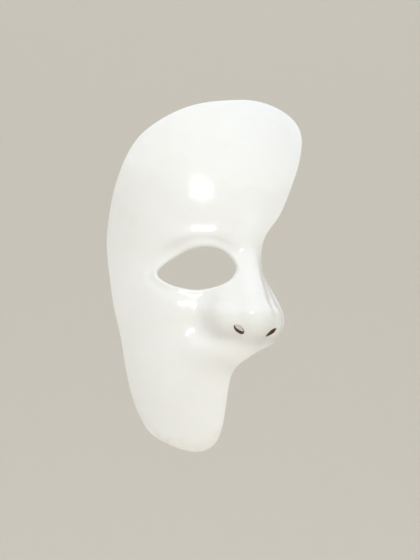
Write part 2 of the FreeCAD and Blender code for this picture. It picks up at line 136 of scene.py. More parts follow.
def head(p):
    """Distance to the plain head form."""
    x, y, z = p[..., 0], p[..., 1], p[..., 2]
    half, deep = value_at(HALF_WIDTH, z), value_at(HALF_DEPTH, z)
    y = y - value_at(MIDLINE, z) - deep
    g = np.sqrt((x / half) ** 2 + (y / deep) ** 2)
    return g * (g - 1) / np.maximum(np.sqrt((x / half ** 2) ** 2 + (y / deep ** 2) ** 2), 1e-9)


def nose(p):
    """Distance to the nose."""
    side = p.copy()
    side[..., 0] = -np.abs(p[..., 0])
    d = taper(p, (0, 5, 6), (0, -14, -33), 6.0, 10.0)
    d = join(d, egg(p, (0, -16, -37), (12.5, 11, 10)), 6)
    d = join(d, taper(side, (-4.5, 8, -4), (-12.5, -1.5, -33), 5.0, 10.0), 12)
    d = join(d, egg(side, (-13.2, -5.5, -39.5), (8.2, 10.5, 8.6)), 10)
    return join(d, taper(p, (0, -14, -43.5), (0, 0, -56), 5.5, 8.0), 9)


def face(p):
    """Distance outside the finished front of the mask."""
    d = head(p)
    for height, centre, spread, both in RISES:
        for side in ((1, -1) if both else (1,)):
            q = (p - np.array((side * centre[0], centre[1], centre[2]), float)) / np.array(spread, float)
            d = d - height * np.exp(-(q ** 2).sum(-1))
    return join(d, nose(p), 12.0)


def face_points(u, w, depth, lift=0.0):
    """Points at this depth below the front, on rays out of the head that dip under the nose."""
    u, w, depth = np.broadcast_arrays(np.asarray(u, float), np.asarray(w, float), np.asarray(depth, float))
    turn = u / AXIS_R
    dip = math.radians(30) * np.exp(-((w + 55) / 19.0) ** 2 - (u / 42.0) ** 2)
    start = np.stack([AXIS_R * np.sin(turn), AXIS_Y - AXIS_R * np.cos(turn), w], -1)
    way = np.stack([np.sin(turn) * np.cos(dip), -np.cos(turn) * np.cos(dip), -np.sin(dip)], -1)
    s = np.full(u.shape, 12.0)
    last_s, last_g = s, None
    for step_count in range(26):
        g = face(start + way * s[..., None]) + depth
        step = -0.8 * g
        if step_count > 3:
            change = g - last_g
            secant = -g * (s - last_s) / np.where(np.abs(change) < 1e-9, 1e9, change)
            good = (np.abs(secant) < 12) & (secant * g < 0)
            step = np.where(good, secant, step)
        last_s, last_g = s, g
        s = s + np.clip(step, -8, 8)
    return start + way * (s + lift)[..., None]


ORIGIN = face_points([0.0], [-23.0], [BACK + GLUE + NOSE_REST])[0]


def closed_curve(points):
    """Controls of the closed cubic curve that passes through the points."""
    target = np.array(points, float)
    controls = target.copy()
    for _ in range(60):
        around = np.roll(controls, 1, axis=0) + np.roll(controls, -1, axis=0)
        controls = 0.5 * controls + 0.5 * (6 * target - around) / 4
    return controls


def curve_at(controls, t):
    """Places and outward directions on a closed cubic curve."""
    controls = np.array(controls, float)
    n = len(controls)
    i = np.floor(t).astype(int)
    f = (t - i)[:, None]
    weight = [(1 - f) ** 3 / 6, (3 * f ** 3 - 6 * f ** 2 + 4) / 6,
              (-3 * f ** 3 + 3 * f ** 2 + 3 * f + 1) / 6, f ** 3 / 6]
    slope = [-(1 - f) ** 2 / 2, (9 * f ** 2 - 12 * f) / 6, (-9 * f ** 2 + 6 * f + 3) / 6, f ** 2 / 2]
    place = sum(weight[j] * controls[(i - 1 + j) % n] for j in range(4))
    along = sum(slope[j] * controls[(i - 1 + j) % n] for j in range(4))
    along = along / np.linalg.norm(along, axis=1, keepdims=True)
    return place, np.stack([along[:, 1], -along[:, 0]], -1)


RIM_CURVE = closed_curve(RIM)


class Columns:
    """Lines that run over the mask from the eye to the rim, at these places round the outlines."""

    def __init__(self, t):
        self.t = np.mod(t, len(RIM))
        self.count = len(self.t)
        self.eye, self.eye_out = curve_at(EYE, self.t)
        self.rim, self.rim_out = curve_at(RIM_CURVE, self.t)
        self.length = np.linalg.norm(self.rim - self.eye, axis=1)

    def place(self, t):
        """Place on every column at distance t from the eye."""
        length = self.length[:, None]
        t = np.broadcast_to(t, self.length.shape)[:, None]
        way = (self.rim - self.eye) / length
        near_eye = (1 - t / length) ** 1.5 / (1 + t / EASE)
        near_rim = (t / length) ** 1.5 / (1 + (length - t) / EASE)
        bend = near_eye * t * (self.eye_out - way) - near_rim * (length - t) * (self.rim_out - way)
        return self.eye + way * t + bend

    def distance(self, where, amount):
        """Distance from the eye of a row that is stated from the eye, the rim or in between."""
        if where == "eye":
            return np.zeros(self.count) + amount
        if where == "rim":
            return self.length - amount
        return 5.0 + amount ** 1.35 * (self.length - 9.0)

    def lift(self, gap):
        """Raised lip round the eye and the crease over it."""
        over = np.exp(-((self.t - 13.0) / 6.5) ** 2)
        lip = 0.5 * np.exp(-(gap / 2.4) ** 2)
        return lip - (0.05 + 1.25 * over) * np.exp(-((gap - 5.0) / 2.6) ** 2)


# ---------------- meshes
def to_row(points):
    """Form millimetres to row-frame metres."""
    return (np.asarray(points, float) - ORIGIN) * MM


def placed(name, data):
    """New object in the scene."""
    thing = bpy.data.objects.new(name, data)
    bpy.context.scene.collection.objects.link(thing)
    return thing


def add_mesh(name, points, faces):
    """New smooth-shaded object from points in metres."""
    mesh = bpy.data.meshes.new(name)
    mesh.from_pydata(np.asarray(points).reshape(-1, 3).tolist(), [], faces)
    mesh.update()
    mesh.polygons.foreach_set("use_smooth", [True] * len(mesh.polygons))
    return placed(name, mesh)


def grid_faces(rows, columns, wrap_rows, wrap_columns, flip=False):
    """Quads over a grid of points."""
    i = np.arange(rows if wrap_rows else rows - 1)
    j = np.arange(columns if wrap_columns else columns - 1)
    i, j = np.meshgrid(i, j, indexing="ij")
    i2, j2 = (i + 1) % rows, (j + 1) % columns
    quads = np.stack([i * columns + j, i2 * columns + j, i2 * columns + j2, i * columns + j2], -1)
    quads = quads.reshape(-1, 4)
    return (quads[:, ::-1] if flip else quads).tolist()


def tube_faces(rings, sides):
    """Faces of a tube through rings of points, with a cap on both ends."""
    last = (rings - 1) * sides
    caps = [list(range(sides)), [last + sides - 1 - k for k in range(sides)]]
    return grid_faces(rings, sides, False, True) + caps


def unit(way):
    """The same direction with length 1."""
    return way / np.linalg.norm(way)


def lengths_along(path):
    """Distance from the start at every point of a path."""
    return np.concatenate([[0], np.cumsum(np.linalg.norm(np.diff(path, axis=0), axis=1))])


def signed_volume(grid):
    """Volume inside a grid that wraps both ways; its sign says which way its quads look."""
    a = grid
    b = np.roll(grid, -1, axis=0)
    c = np.roll(b, -1, axis=1)
    d = np.roll(grid, -1, axis=1)
    both = np.cross(b - a, c - a) + np.cross(c - a, d - a)
    return (both * (a + b + c + d) / 4).sum() / 6


def ring_object(name, grid):
    """Closed ring-shaped object through a grid of form points that wraps both ways."""
    rows, columns = grid.shape[:2]
    faces = grid_faces(rows, columns, True, True, signed_volume(grid) < 0)
    return add_mesh(name, to_row(grid), faces)


def set_values(thing, name, values):
    """Store one number per vertex for the material."""
    attribute = thing.data.attributes.new(name, "FLOAT", "POINT")
    attribute.data.foreach_set("value", np.asarray(values, np.float32).ravel())


def soft_noise(u, w, sizes, seed):
    """Smooth bumps from crossed waves, about -1 to 1."""
    draw = np.random.default_rng(seed)
    total = np.zeros(np.broadcast(u, w).shape)
    for size in sizes:
        for _ in range(4):
            angle, phase = draw.uniform(0, 2 * math.pi, 2)
            wave = 2 * math.pi / (size * draw.uniform(0.75, 1.3))
            total = total + np.sin(wave * (u * math.cos(angle) + w * math.sin(angle)) + phase)
    return total / math.sqrt(8.0 * len(sizes))


# ---------------- layers of the shell
COLUMNS = 480
FINE = Columns(np.arange(COLUMNS) * len(RIM) / COLUMNS)
MIDDLE_STEPS = 110
ARC_STEPS = 10
LIP_REACH = 14.0  # the lip and crease end this far from the eye
VALUE_REACH = 30.0  # distances from the rim are stored up to this


def layer_rows(front_depth, edge_radius, turn_rows):
    """Rows of one side of a layer: over the front, round both edges and on to the inside."""
    front = [("eye", t, front_depth) for t in np.arange(ROUND + 0.4, 4.9, 0.4)]
    front = front + [("middle", k / MIDDLE_STEPS, front_depth) for k in range(MIDDLE_STEPS + 1)]
    front = front + [("rim", t, front_depth) for t in np.arange(3.65, ROUND + 0.2, -0.4)]
    edges = {}
    for where in ("rim", "eye"):
        rows = []
        for k in range(ARC_STEPS + 1):
            a = math.pi * k / ARC_STEPS
            rows.append((where, ROUND - edge_radius * math.sin(a), ROUND - edge_radius * math.cos(a)))
        edges[where] = rows + [(where, t, ROUND + edge_radius) for t in turn_rows]
    return front, edges


def layer_grid(rows, relief=None, ragged=None):
    """Points of the rows; relief(u, w, depth) adds depth and ragged(where) moves the turned-in edge."""
    depths, places, gaps = [], [], []
    for where, amount, depth in rows:
        gap = FINE.distance(where, amount)
        if ragged is not None and depth > ROUND + 0.5 and amount > ROUND + 0.1:
            gap = gap + ragged(where) * (amount - ROUND) / (TURN_IN - ROUND)
        place = FINE.place(gap)
        places.append(place)
        gaps.append(gap)
        depths.append(np.full(FINE.count, depth))
    places, gaps, depth = np.array(places), np.array(gaps), np.array(depths)
    lift = np.where(gaps < LIP_REACH, FINE.lift(gaps), 0.0)
    if relief is not None:
        depth = depth + relief(places[..., 0], places[..., 1], depth, gaps, FINE.length - gaps)
    return face_points(places[..., 0], places[..., 1], depth, lift), gaps


def lacquer_relief(u, w, depth, from_eye, from_rim):
    """Slow unevenness of hand-brushed gesso, only on the front."""
    swell = 0.10 * soft_noise(u, w, (34, 22), 11) + 0.035 * soft_noise(u, w, (12, 9), 12)
    calm = np.clip(np.minimum(from_eye, from_rim) / 6.0, 0, 1)
    return np.where(depth < 0.01, swell * calm, 0.0)


def lacquer_edge(where):
    """Brushed end of the lacquer on the inside."""
    t = FINE.t * 16.0
    seed = 21 if where == "rim" else 22
    return 0.45 * soft_noise(t, 0 * t, (26, 11), seed) + 0.2 * soft_noise(t, 0 * t, (4,), seed + 5)


def build_lacquer():
    """White skin over the front, round both edges and on to the inside."""
    turn = list(np.arange(ROUND + 0.4, TURN_IN - 0.2, 0.35))
    front, outer = layer_rows(0.0, ROUND, turn)
    back, inner = layer_rows(COAT, ROUND - COAT, turn)
    tip = BACK + COAT / 2
    rows = front + outer["rim"] + [("rim", TURN_IN, tip)] + inner["rim"][::-1]
    rows = rows + back[::-1] + inner["eye"] + [("eye", TURN_IN, tip)] + outer["eye"][::-1]
    grid, gaps = layer_grid(rows, lacquer_relief, lacquer_edge)
    skin = ring_object("lacquer_skin", grid)
    set_values(skin, "from_rim", np.minimum(FINE.length - gaps, VALUE_REACH))
    return skin


def paper_pieces(u, w):
    """Height and tone of torn paper pieces pasted over each other on the inside."""
    draw = np.random.default_rng(5)
    height, tone = np.zeros(u.shape), np.full(u.shape, 0.5)
    for _ in range(150):
        cu, cw = draw.uniform(-95, 60), draw.uniform(-122, 112)
        angle = draw.choice([0.1, 1.2, -0.6, 2.2]) + draw.uniform(-0.35, 0.35)
        long_half, short_half = draw.uniform(20, 34), draw.uniform(9, 14)
        shade = draw.uniform(0, 1)
        phase = draw.uniform(0, 50)
        x = (u - cu) * math.cos(angle) + (w - cw) * math.sin(angle)
        y = -(u - cu) * math.sin(angle) + (w - cw) * math.cos(angle)
        torn = 0.7 * np.sin(x * 0.55 + phase) + 0.45 * np.sin(x * 1.37 + 2 * phase)
        torn = torn + 0.5 * np.sin(y * 0.8 + phase) + 0.3 * np.sin(y * 1.9 + 3 * phase)
        inside = np.minimum(long_half - np.abs(x) + torn, short_half - np.abs(y) + torn)
        cover = 1 / (1 + np.exp(-np.clip(inside / 0.28, -30, 30)))
        height = height * (1 - cover) + (0.55 * height + 0.17) * cover
        tone = tone * (1 - cover) + shade * cover
    return height, tone


def paper_height(u, w, gap):
    """Relief of the pasted pieces at this distance from the nearest edge, and their tone."""
    height, tone = paper_pieces(u, w)
    free = np.clip((gap - TURN_IN) / 4.0, 0, 1)
    return (height + 0.05 * soft_noise(u, w, (7, 4.5), 31)) * free, tone


def build_paper():
    """Papier-mache body under the lacquer, with the relief of its torn pieces on the inside."""
    turn = list(np.arange(ROUND + 0.4, 4.9, 0.5))
    front, edges = layer_rows(COAT, ROUND - COAT, turn)
    back = [("middle", k / MIDDLE_STEPS, BACK) for k in range(MIDDLE_STEPS + 1)]
    tones = {}

    def relief(u, w, depth, from_eye, from_rim):
        height, tones["tone"] = paper_height(u, w, np.minimum(from_eye, from_rim))
        return np.where(depth > BACK - 0.01, height, 0.0)

    rows = front + edges["rim"] + back[::-1] + edges["eye"][::-1]
    body = ring_object("paper_body", layer_grid(rows, relief)[0])
    set_values(body, "tone", tones["tone"])
    return body


# ---------------- nostrils
SLOT_HALF = (4.0, 2.3)  # half length and half width of a nostril slot
SLOT_FLARE = 0.9  # softening of its mouth in the lacquer
SLOT_SIDES = 64


def nostril_cutter(side, mouth):
    """Slot tool: straight inside, flared at the surface by mouth millimetres."""
    out = unit(np.array((side * 0.40, -0.65, -0.64)))
    centre = np.array((0.8 + side * 11.2, -17.9, -45.2))
    for _ in range(20):
        centre = centre - out * face(centre[None])[0] * 0.7
    long_way = np.array((-side * 5.0, 0.8, -4.7))
    long_way = unit(long_way - out * (long_way @ out))
    short_way = np.cross(out, long_way)
    steps = [(-11.0, 0.0), (-4.0, 0.0), (-1.6, 0.0)]
    for k in range(9):
        a = math.pi / 2 * k / 8
        steps.append((-1.2 + 1.2 * math.sin(a), mouth * (1 - math.cos(a))))
    steps.append((4.0, mouth + 1.5))
    turn = np.linspace(0, 2 * math.pi, SLOT_SIDES, endpoint=False)
    grid = []
    for h, flare in steps:
        grid.append(centre + out * h + np.outer(np.cos(turn) * (SLOT_HALF[0] + flare), long_way)
                    + np.outer(np.sin(turn) * (SLOT_HALF[1] + flare), short_way))
    tool = add_mesh("tool", to_row(grid), tube_faces(len(steps), SLOT_SIDES))
    if np.cross(long_way, short_way) @ out > 0:
        tool.data.flip_normals()
    return tool


def cut(thing, tools):
    """Take the tools out of a closed mesh."""
    for tool in tools:
        step = thing.modifiers.new("cut", "BOOLEAN")
        step.operation, step.object, step.solver = "DIFFERENCE", tool, "MANIFOLD"
    apply_all(thing)
    for tool in tools:
        bpy.data.objects.remove(tool)


def apply_all(thing):
    """Replace the mesh with what its modifiers make of it."""
    depsgraph = bpy.context.evaluated_depsgraph_get()
    made = bpy.data.meshes.new_from_object(thing.evaluated_get(depsgraph), depsgraph=depsgraph)
    thing.modifiers.clear()
    thing.data = made


# ---------------- sheets, strips and threads
def slab(top, low):
    """Points and faces of a closed sheet between two grids of the same shape."""
    n, m = top.shape[:2]
    points = np.concatenate([top, low]).reshape(-1, 3)
    quads = grid_faces(n, m, False, False)
    faces = quads + [[v + n * m for v in quad[::-1]] for quad in quads]
    edge = list(range(m)) + [i * m + m - 1 for i in range(1, n)]
    edge = edge + [(n - 1) * m + j for j in range(m - 2, -1, -1)] + [i * m for i in range(n - 2, 0, -1)]
    for a, b in zip(edge, edge[1:] + edge[:1]):
        faces.append([b, a, a + n * m, b + n * m])
    return points, faces


def joined(name, parts, values=None):
    """One object from several (points, faces) in form millimetres; values gives one number to each part."""
    points, faces, marks, offset = [], [], [], 0
    for k, (some, more) in enumerate(parts):
        points.append(some)
        faces = faces + [[v + offset for v in face_loop] for face_loop in more]
        marks = marks + [0.0 if values is None else values[k]] * len(some)
        offset = offset + len(some)
    thing = add_mesh(name, to_row(np.concatenate(points)), faces)
    look_outwards(thing)
    set_values(thing, "tone", marks)
    return thing


def look_outwards(thing):
    """Turn every face of closed parts outwards."""
    work = bmesh.new()
    work.from_mesh(thing.data)
    bmesh.ops.recalc_face_normals(work, faces=work.faces)
    work.to_mesh(thing.data)
    work.free()


def torn_strips(name, where, full_width, pieces, seed):
    """Torn kraft pieces glued end over end on the inside along an edge, over the paper's own relief."""
    draw = np.random.default_rng(seed)
    parts, tones = [], []
    step = len(RIM) / pieces
    along = np.linspace(0, 1, 48)
    across = np.linspace(0, 1, 13)
    end = np.abs(2 * along - 1)
    for k in range(pieces):
        tones.append(draw.uniform(0, 1))
        phase = draw.uniform(0, 50, 4)
        wide = draw.uniform(0.86, 1.0)
        run = along * step * 9 + phase[2]
        places, gaps, widths = [], [], []
        for a in across:
            torn_end = 0.035 * step * (np.sin(9 * a + phase[0]) + 0.6 * np.sin(23 * a + phase[1]))
            lines = Columns((k - 0.11) * step + 1.22 * step * along + torn_end * end ** 5)
            width = np.minimum(full_width, np.maximum(STRIP_LEAST, 0.25 * (lines.length - 18))) * wide
            outer = 0.35 * np.sin(1.9 * run) + 0.22 * np.sin(4.7 * run + phase[3]) + 0.12 * np.sin(11 * run)
            ragged = a * outer + (1 - a) * 0.18 * np.sin(2.7 * run + phase[1])
            amount = TURN_IN + 0.3 + a * width + ragged * width / full_width
            places.append(lines.place(lines.distance(where, amount)))
            gaps.append(np.minimum(amount, lines.length - amount))
            widths.append(width)
        u, w = np.array(places)[..., 0], np.array(places)[..., 1]
        margin = np.minimum(across, 1 - across)[:, None] * np.array(widths)
        feather = (1 - np.exp(-margin / 0.35)) * (1 - end ** 24)
        cover = (k % 2) * np.clip((end - 0.72) / 0.12, 0, 1)
        depth = BACK + 0.04 + paper_height(u, w, np.array(gaps))[0] + 0.24 * feather + 0.2 * cover
        parts.append(slab(face_points(u, w, depth), face_points(u, w, np.full(u.shape, BACK - 0.05))))
    return joined(name, parts, tones)


THREAD_RINGS = 7
THREAD_SIDES = 6
THREAD_SUNK = 0.12  # how deep the ends of a stitch lie


def thread(a, b, up, rise, radius):
    """One stitch that comes out at a and goes in at b."""
    a, b, up = np.array(a, float), np.array(b, float), np.array(up, float)
    side = unit(np.cross(unit(b - a), up))
    rings = []
    turn = np.linspace(0, 2 * math.pi, THREAD_SIDES, endpoint=False)
    for s in np.linspace(0, 1, THREAD_RINGS):
        centre = a + (b - a) * s + up * (rise * math.sin(math.pi * s) - THREAD_SUNK)
        rings.append(centre + radius * (np.outer(np.cos(turn), side) + np.outer(np.sin(turn), up)))
    return np.array(rings).reshape(-1, 3), tube_faces(THREAD_RINGS, THREAD_SIDES)


# ---------------- cushions
COVER_STEP = 0.45
BORDER_HEIGHT = 0.55  # sewn border of a cushion over the glue
SEAM_HEIGHT = 0.62
SEAM_INSET = 0.62  # stitches from the edge
SEAM_CORNER = 1.26  # radius of the seam's corners
SEAM_PITCH = 2.0
CLOTH_SCALE = 0.01  # metres to a millimetre, ten times the real size
CLOTH_FRAMES = 20
CLOTH_MOST = 0.9  # furthest move of a point


def pad_place(pad, x, y, height):
    """Form points of a pad at its own x and y (-1 to 1) and this height over the glue."""
    u0, w0, half_u, half_w, slant = pad
    px = half_u * x * np.sqrt(1 - 0.38 * y * y)
    py = half_w * y * np.sqrt(1 - 0.38 * x * x)
    a = math.radians(slant)
    u = u0 + px * math.cos(a) - py * math.sin(a)
    w = w0 + px * math.sin(a) + py * math.cos(a)
    return face_points(u, w, BACK + GLUE + height)


def inflated(flat_x, flat_y, height, pinned):
    """Heights of a sewn cover after it is blown up by a cloth simulation, run at ten times the size."""
    n, m = height.shape
    start = np.stack([flat_x, flat_y, height], -1).reshape(-1, 3) * CLOTH_SCALE
    cover = add_mesh("cover", start, grid_faces(n, m, False, False))
    if sum(f.normal.z for f in cover.data.polygons) < 0:
        cover.data.flip_normals()
    group = cover.vertex_groups.new(name="sewn")
    group.add([int(v) for v in np.flatnonzero(pinned.ravel())], 1.0, "REPLACE")
    cloth = cover.modifiers.new("cloth", "CLOTH")
    rules = cloth.settings
    rules.quality = 6
    rules.mass = 0.15
    rules.tension_stiffness = rules.compression_stiffness = 12
    rules.shear_stiffness = 6
    rules.bending_stiffness = 0.4
    rules.use_pressure = True
    rules.uniform_pressure_force = 4.0
    rules.shrink_min = -0.04
    rules.vertex_group_mass = "sewn"
    rules.effector_weights.gravity = 0
    cloth.point_cache.frame_start, cloth.point_cache.frame_end = 1, CLOTH_FRAMES
    scene = bpy.context.scene
    for f in range(1, CLOTH_FRAMES + 1):
        scene.frame_set(f)
    depsgraph = bpy.context.evaluated_depsgraph_get()
    done = cover.evaluated_get(depsgraph).to_mesh()
    place = np.zeros(n * m * 3)
    done.vertices.foreach_get("co", place)
    scene.frame_set(1)
    bpy.data.objects.remove(cover)
    move = place.reshape(-1, 3) - start
    far = np.linalg.norm(move, axis=1, keepdims=True)
    kept = np.minimum(1, CLOTH_MOST * CLOTH_SCALE / np.maximum(far, 1e-9))
    return ((start + move * kept) / CLOTH_SCALE).reshape(n, m, 3)


def cushion(name, pad, height, channels, seed):
    """Felt cushion: a flat sewn border, a crowned middle and grooves across its long way."""
    half_u, half_w = pad[2:4]
    n, m = int(2 * half_u / COVER_STEP) | 1, int(2 * half_w / COVER_STEP) | 1
    x, y = np.meshgrid(np.linspace(-1, 1, n), np.linspace(-1, 1, m), indexing="ij")
    border = join((1 - np.abs(x)) * half_u, (1 - np.abs(y)) * half_w, 1.2)
    border = np.maximum(border + 0.25, 0)
    rise = 1 - np.exp(-np.maximum(border - 1.15, 0) / (0.30 * min(half_u, half_w)))
    long_place = (x * half_u) if half_u > half_w else (y * half_w)
    across = np.full(x.shape, 99.0)
    for c in channels:
        across = np.minimum(across, np.abs(long_place - c))
    z = BORDER_HEIGHT + (0.86 * height - BORDER_HEIGHT) * rise * (1 - 0.62 * np.exp(-(across / 1.1) ** 2))
    z = z + 0.06 * rise * soft_noise(x * half_u, y * half_w, (6, 3.5), seed)
    pinned = (border < 1.35) | (across < 0.45)
    made = np.stack([x * half_u, y * half_w, z], -1)
    made = inflated(x * half_u, y * half_w, z, pinned)
    made[..., 2] = np.clip(made[..., 2], 0.3, height + 0.25)
    free_x = np.clip(made[..., 0] / half_u, -1, 1)
    free_y = np.clip(made[..., 1] / half_w, -1, 1)
    top = pad_place(pad, free_x, free_y, made[..., 2])
    low = pad_place(pad, x, y, np.zeros(x.shape))
    points, faces = slab(top, low)
    thing = add_mesh(name, to_row(points), faces)
    look_outwards(thing)
    finer = thing.modifiers.new("finer", "SUBSURF")
    finer.levels = finer.render_levels = 1
    apply_all(thing)
    return thing


def cushion_threads(pad):
    """Stitches round the border of a cushion."""
    half_u, half_w = pad[2:4]
    inset_x, inset_y = 1 - SEAM_INSET / half_u, 1 - SEAM_INSET / half_w
    rx, ry = SEAM_CORNER / half_u, SEAM_CORNER / half_w
    loop = []
    for cx, cy, first in ((1, 1, 0), (-1, 1, 90), (-1, -1, 180), (1, -1, 270)):
        for k in range(7):
            a = math.radians(first + 15 * k)
            loop.append((cx * (inset_x - rx) + rx * math.cos(a), cy * (inset_y - ry) + ry * math.sin(a)))
    loop = np.array(loop + loop[:1])
    reach = lengths_along(loop * (half_u, half_w))
    made = []

    count = int(reach[-1] / SEAM_PITCH)
    for k in range(count):
        s = reach[-1] * (k + np.array([0.12, 0.72])) / count
        px, py = np.interp(s, reach, loop[:, 0]), np.interp(s, reach, loop[:, 1])
        ends = pad_place(pad, px, py, np.full(2, SEAM_HEIGHT))
        deeper = pad_place(pad, px, py, np.full(2, SEAM_HEIGHT + 1.0))
        up = (deeper - ends).mean(axis=0)
        made.append(thread(ends[0], ends[1], unit(up), 0.25, 0.15))
    return made


# ---------------- tie anchors
BAR_X = 3.0  # where the ring's bar is
PATCH_TOP = 1.4
LEATHER = 1.0  # thickness of the strip
BAR_Z = PATCH_TOP + LEATHER + 1.0
FOLD = 1.5  # radius of the strip's fold round the bar
TAB_HALF = 3.8
TAB_EDGE = 0.28  # rounding of the strip's edges
TAB_END = 3.0  # rounding of its end
PATCH_X = (-10.0, 4.4)
PATCH_HALF = 7.5
PATCH_CORNER = 3.0
CORNER_STEPS = 10


class Anchor:
    """Frame of a tie anchor on the inside: x towards the rim, z towards the wearer."""

    def __init__(self, u, w, toward_u, toward_w):
        us = 2 * np.array([0, toward_u, -toward_u, -toward_w, toward_w]) + u
        ws = 2 * np.array([0, toward_w, -toward_w, toward_u, -toward_u]) + w
        here, ahead, behind, left, right = face_points(us, ws, np.full(5, BACK))
        x_way = unit(ahead - behind)
        z_way = unit(np.cross(x_way, left - right))
        if z_way @ (np.array((0, AXIS_Y, here[2])) - here) < 0:
            z_way = -z_way
        self.place, self.axes = here, np.array([x_way, np.cross(z_way, x_way), z_way])

    def form(self, points):
        """Form points of points in the anchor's frame."""
        return self.place + np.asarray(points, float) @ self.axes

    def bed(self, x, y):
        """Height of the glue line under x, y."""
        z = np.zeros(np.shape(x))
        for _ in range(25):
            z = z + 0.9 * (face(self.form(np.stack([x, y, z], -1))) + BACK + GLUE)
        return z


def patch_outline(inset):
    """Rounded rectangle of the patch, moved in by inset."""
    loop = []
    low, high = PATCH_X
    radius = max(PATCH_CORNER - inset, 0.4)
    for cx, cy, first in ((high, PATCH_HALF, 0), (low, PATCH_HALF, 90), (low, -PATCH_HALF, 180),
                          (high, -PATCH_HALF, 270)):
        middle_x = cx - math.copysign(PATCH_CORNER, cx)
        middle_y = cy - math.copysign(PATCH_CORNER, cy)
        for k in range(CORNER_STEPS):
            a = math.radians(first + 10 * k)
            loop.append((middle_x + radius * math.cos(a), middle_y + radius * math.sin(a)))
    return np.array(loop)


def leather_patch(name, anchor, seed):
    """Patch with a burnished bevel and a pressed stitch line."""
    rings = []
    centre = np.array((-2.8, 0.0))
    for share in (0.0, 0.25, 0.5, 0.75):
        loop = centre + (patch_outline(2.2) - centre) * max(share, 0.004)
        z = PATCH_TOP + 0.05 * soft_noise(loop[:, 0], loop[:, 1], (5, 3), seed)
        rings.append(np.column_stack([loop, z]))
    for inset, drop in ((2.0, 0.0), (1.75, 0.02), (1.5, 0.12), (1.25, 0.14), (1.0, 0.04), (0.75, 0.0),
                        (0.45, 0.03), (0.2, 0.12), (0.06, 0.27), (0.0, 0.45)):
        loop = patch_outline(inset)
        rings.append(np.column_stack([loop, np.full(len(loop), PATCH_TOP - drop)]))
    edge = patch_outline(0.0)
    bed = anchor.bed(edge[:, 0], edge[:, 1])
    for share in (0.35, 0.7, 1.0):
        z = (PATCH_TOP - 0.45) * (1 - share) + bed * share
        rings.append(np.column_stack([edge, np.minimum(z, PATCH_TOP - 0.5)]))
    for share in (0.6, 0.004):
        loop = centre + (edge - centre) * share
        rings.append(np.column_stack([loop, anchor.bed(loop[:, 0], loop[:, 1])]))
    faces = tube_faces(len(rings), len(edge))
    return joined(name, [(anchor.form(rings).reshape(-1, 3), faces)])


def tab_path():
    """Middle line of the folded strip in the anchor's x and z."""
    low, high = PATCH_TOP + LEATHER / 2, BAR_Z + FOLD
    points = [(x, low) for x in np.linspace(-8.0, 2.6, 16)]
    for k in range(13):
        a = -math.pi / 2 + math.pi * k / 12
        points.append((BAR_X + FOLD * math.cos(a), BAR_Z + FOLD * math.sin(a)))
    for k in range(1, 11):
        s = k / 10
        fall = s * s * (3 - 2 * s)
        points.append((BAR_X - 4.2 * s, high + (low + LEATHER - high) * fall))
    points = points + [(x, low + LEATHER) for x in np.linspace(-1.9, -7.4, 10)]
    return np.array(points)


def leather_tab(name, anchor):
    """Strip of leather folded round the bar, with rounded edges and a rounded end."""
    path = tab_path()
    way = np.gradient(path, axis=0)
    way = way / np.linalg.norm(way, axis=1, keepdims=True)
    across = np.stack([-way[:, 1], way[:, 0]], -1)
    left = lengths_along(path)
    left = left[-1] - left
    section = []
    for cy, cz, first in ((1, 1, 0), (-1, 1, 90), (-1, -1, 180), (1, -1, 270)):
        for k in range(4):
            a = math.radians(first + 30 * k)
            section.append((cy, TAB_EDGE * math.cos(a), cz * 0.22 + 0.26 * math.sin(a)))
    rings = []
    for k, ((x, z), (ax, az)) in enumerate(zip(path, across)):
        half = TAB_HALF - TAB_EDGE
        if left[k] < TAB_END:
            half = half - TAB_END * (1 - math.sqrt(max(1 - ((TAB_END - left[k]) / TAB_END) ** 2, 0.0)))
        rings.append([(x + ax * t, cy * half + dy, z + az * t) for cy, dy, t in section])
    faces = tube_faces(len(rings), len(section))
    return joined(name, [(anchor.form(rings).reshape(-1, 3), faces)])


def anchor_threads(anchor):
    """Stitches round the patch and in a box on the tab."""
    made = []
    up = anchor.axes[2]

    def row(loop, z, pitch, fill):
        reach = lengths_along(loop)
        count = max(int(round(reach[-1] / pitch)), 1)
        for k in range(count):
            s = reach[-1] * (k + np.array([0.5 - fill / 2, 0.5 + fill / 2])) / count
            x, y = np.interp(s, reach, loop[:, 0]), np.interp(s, reach, loop[:, 1])
            if z < 2 and abs(y.mean()) < TAB_HALF + 0.3 and x.mean() > 0:
                continue
            ends = anchor.form(np.column_stack([x, y, [z, z]]))
            made.append(thread(ends[0], ends[1], up, 0.24, 0.16))

    edge = patch_outline(1.38)
    row(np.vstack([edge, edge[:1]]), PATCH_TOP - 0.1, 1.9, 0.72)
    top = PATCH_TOP + 2 * LEATHER
    box = np.array([(-2.2, -2.7), (-2.2, 2.7), (-5.6, 2.7), (-5.6, -2.7), (-2.2, -2.7)])
    for a, b in zip(box[:-1], box[1:]):
        row(np.array([a, b]), top, 1.35, 0.74)
    return made


